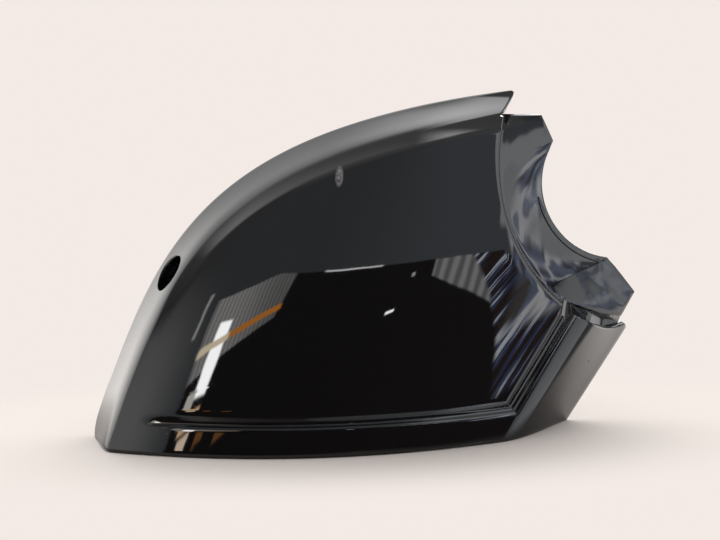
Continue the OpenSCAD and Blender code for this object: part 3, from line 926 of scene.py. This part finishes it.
floor_at = nodes.new("ShaderNodeTexCoord").outputs["Object"]
floor_x, floor_y, _ = split(floor_at)
ray = nodes.new("ShaderNodeLightPath").outputs
# Painted glow: the paper emits light for glossy rays only, stronger away from the cover and to the right
far_glow = step(apart(floor_at), 0.12, 0.45, 1.3)
side_glow = times(step(floor_x, 0.09, 0.25, 2.4), step(floor_y, 0.4, 0.2))
glow = nodes.new("ShaderNodeEmission")
glow.inputs["Color"].default_value = (1, 0.98, 0.96, 1)
links.new(times(ray["Is Glossy Ray"], plus(far_glow, side_glow)), glow.inputs["Strength"])
lit = nodes.new("ShaderNodeAddShader")
links.new(sheet.outputs[0], lit.inputs[0])
links.new(glow.outputs[0], lit.inputs[1])
bright = nodes.new("ShaderNodeEmission")
bright.inputs["Color"].default_value = (0.896, 0.823, 0.784, 1)
from_shade = apart(stretched(floor_at, (0.135, 0.055, 1), moved=(-0.015, 0.02, 0)))
open_floor = mixed(times(ray["Is Camera Ray"], step(from_shade, 1.15, 2.15)),
                   lit.outputs[0], bright.outputs[0])
front_edge = less(floor_y, times(maths("MAXIMUM", floor_x, 0), 0.3))
in_front = times(ray["Is Glossy Ray"], step(front_edge, -0.034, -0.046))
unlit = nodes.new("ShaderNodeBsdfTransparent")
links.new(mixed(in_front, open_floor, unlit.outputs[0]), nodes["Material Output"].inputs["Surface"])
floor.data.materials.append(paper)


# Studio light
# Soft light at a plain level, mostly from above and behind. The room shows only in the gloss of the
# plastic: a bright wall behind, pale blinds and a tall lamp at the left, blinds at the right, a torn
# pattern of bright panes beyond them, and a dark hall in front.
world = bpy.data.worlds.new("studio")
bpy.context.scene.world = world
world.use_nodes = True
nodes, links = world.node_tree.nodes, world.node_tree.links
nodes.clear()
way_x, way_y, way_z = split(nodes.new("ShaderNodeTexCoord").outputs["Generated"])
toward = times(way_y, -1)
azimuth = maths("DEGREES", maths("ARCTAN2", way_x, toward))
climb = maths("DEGREES", maths("ARCSINE", way_z))
# Rise goes from the front over the top to the back, 0 to 180 degrees
over = maths("DEGREES", maths("ARCTAN2", way_z, maths("ABSOLUTE", toward)))
rise = plus(times(over, maths("SIGN", toward)), times(maths("LESS_THAN", toward, 0), 180))


def leaning(lean):
    return less(azimuth, times(climb, lean))


def tilted(slope):
    return less(climb, times(azimuth, slope))


def zone(az0, az1, el0, el1, soft=0.4, lean=0.0, slope=0.0):
    az, el = leaning(lean), tilted(slope)
    sides = times(step(az, az0 - soft, az0 + soft), step(az, az1 + soft, az1 - soft))
    ends = times(step(el, el0 - soft, el0 + soft), step(el, el1 + soft, el1 - soft))
    return times(sides, ends)


def grey(v, warm=0.0):
    return (v * (1 + warm), v, v * (1 - warm))


def panes(lean, across, upward, detail, blue_from, light_from, dark, blue, light):
    pattern = noise(joined(times(leaning(lean), across), times(climb, upward)), 1.0, *detail)
    return blend(step(pattern, *light_from), blend(step(pattern, *blue_from), dark, blue), light)


# Walls, ceiling and the bright wall behind
room = blend(step(azimuth, -20, 24), grey(0.42, -0.08), grey(0.68, -0.1))
left_wall = blend(step(climb, 30, 5), grey(0.38), grey(1.6))
room = blend(step(azimuth, -37, -51), room, left_wall)
room = blend(step(azimuth, 50, 70), room, grey(1.7, -0.04))
wall_back = blend(step(way_x, -0.3, 0.05), grey(1.6), grey(3.7))
wall_back = blend(step(rise, 140, 165), wall_back, grey(2.15, 0.03))
shade_back = times(step(rise, 130, 144), step(way_x, -0.2, 0.0))
wall_back = blend(shade_back, wall_back, grey(0.4))
room = blend(step(rise, 60, 100), room, grey(0.55))
room = blend(step(rise, 110, 127), room, wall_back)
room = blend(zone(-120, -75, 22, 62, 5), room, grey(0.3))
ridge = times(step(way_x, -0.12, 0.0), step(way_x, 0.16, 0.1))
room = blend(times(ridge, step(rise, 106.5, 110.5)), room, grey(4.0))
# Outline of the dark hall, whose upper edge bows
bow = times(maths("POWER", azimuth, 2), -0.00194)
over_edge = less(climb, plus(plus(times(azimuth, -0.247), bow), 19.1))
roof = times(step(over_edge, 0.25, -0.25), step(less(tilted(0.28), 31.6), 0.25, -0.25))
hall = times(roof, zone(-39.6, 56, -60, 40, 0.5))
inside = blend(step(azimuth, -30, 40), (0.05, 0.042, 0.04), (0.075, 0.062, 0.058))
# Blinds and a tall lamp at the left, with pale and orange lines and small lights below them
fine_slats = step(maths("SINE", times(azimuth, 6.6)), -0.6, 0.6)
blinds = blend(step(azimuth, -36, -24), blend(fine_slats, grey(2.2, 0.02), grey(3.3, 0.02)),
               blend(fine_slats, grey(1.1, 0.02), grey(1.7, 0.02)))
inside = blend(zone(-47, -26.4, 23.8, 60, 0.3, 0.2, 0.4), inside, blinds)
inside = blend(zone(-36.9, -34.2, 6.2, 16.2, 0.3), inside, grey(21))
inside = blend(zone(-42, -33.5, 22.7, 24.0, 0.25, 0, 0.297), inside, (10, 8.4, 6))
inside = blend(zone(-33.5, -22.8, 22.7, 24.0, 0.25, 0, 0.297), inside, (6, 2, 0.25))
for edges, colour in (
        ((-38.3, -36.6, 4.6, 7.0), (7, 6.6, 6)),
        ((-37.6, -34.4, 3.9, 5.2), (9, 5.8, 3.4)),
        ((-37.0, -35.0, 2.6, 3.6), (10, 8, 6)),
        ((-33.0, -31.2, 2.2, 3.1), (1.9, 0.8, 0.25)),
        ((-28.3, -25.8, 1.2, 2.0), (1.7, 0.75, 0.25)),
        ((5.9, 7.9, 5.0, 5.6), grey(20)),
        ((9.9, 10.7, 12.3, 13.4), grey(5))):
    inside = blend(zone(*edges, 0.2), inside, colour)
# Wide blinds at the right, and torn panes beyond them
wide_slats = step(maths("SINE", times(azimuth, 2.2)), -1, 1)
inside = blend(zone(15.2, 33, 22.6, 70, 0.35, 0, -0.8), inside, blend(wide_slats, grey(1.3), grey(2.9)))
torn_panes = panes(0.8, 0.42, 0.05, (3, 0.6), (0.46, 0.54), (0.55, 0.6),
                   (0.2, 0.12, 0.1), (0.35, 0.5, 1.05), (5.0, 5.2, 5.6))
inside = blend(zone(31, 70, -21, 12, 0.6, -0.55), inside, torn_panes)
room = blend(hall, room, inside)
# Tall panes beside the hall, plain above, and low panes that show in the flange's folded end
tall_panes = panes(0.6, 0.11, 0.04, (2, 0.5), (0.4, 0.5), (0.5, 0.56),
                   (0.6, 0.54, 0.5), (1.2, 1.45, 2.1), (4.8, 4.8, 4.9))
tall_panes = blend(step(climb, 12, 20), tall_panes, grey(2.4, -0.02))
room = blend(zone(38.5, 86, -12, 52, 2), room, tall_panes)
room = blend(zone(31.5, 50, 18, 62, 2), room, grey(2.8, -0.02))
low_panes = panes(0.5, 0.3, 0.1, (2, 0.5), (0.4, 0.47), (0.52, 0.58),
                  (0.38, 0.31, 0.28), (0.9, 1.1, 1.6), grey(3.4, -0.02))
room = blend(zone(48, 92, -62, -37, 2), room, low_panes)
# Thin bright lines along the hall's upper edge and beside its left edge
edge_line = times(zone(-14, 1.2, -5, 60, 0.6), times(step(over_edge, -0.3, -0.1), step(over_edge, 0.35, 0.1)))
room = blend(edge_line, room, grey(9))
room = blend(zone(-43.4, -42.8, 14, 22, 0.3, 0.05), room, grey(4.5))

look = nodes.new("ShaderNodeBackground")
links.new(room, look.inputs["Color"])
plain = nodes.new("ShaderNodeBackground")
links.new(blend(step(rise, 20, 120), (0.12, 0.118, 0.116), (1.62, 1.59, 1.56)), plain.inputs["Color"])
in_gloss = nodes.new("ShaderNodeLightPath").outputs["Is Glossy Ray"]
links.new(mixed(in_gloss, plain.outputs[0], look.outputs[0]),
          nodes.new("ShaderNodeOutputWorld").inputs["Surface"])

bpy.context.scene.view_settings.view_transform = "Standard"
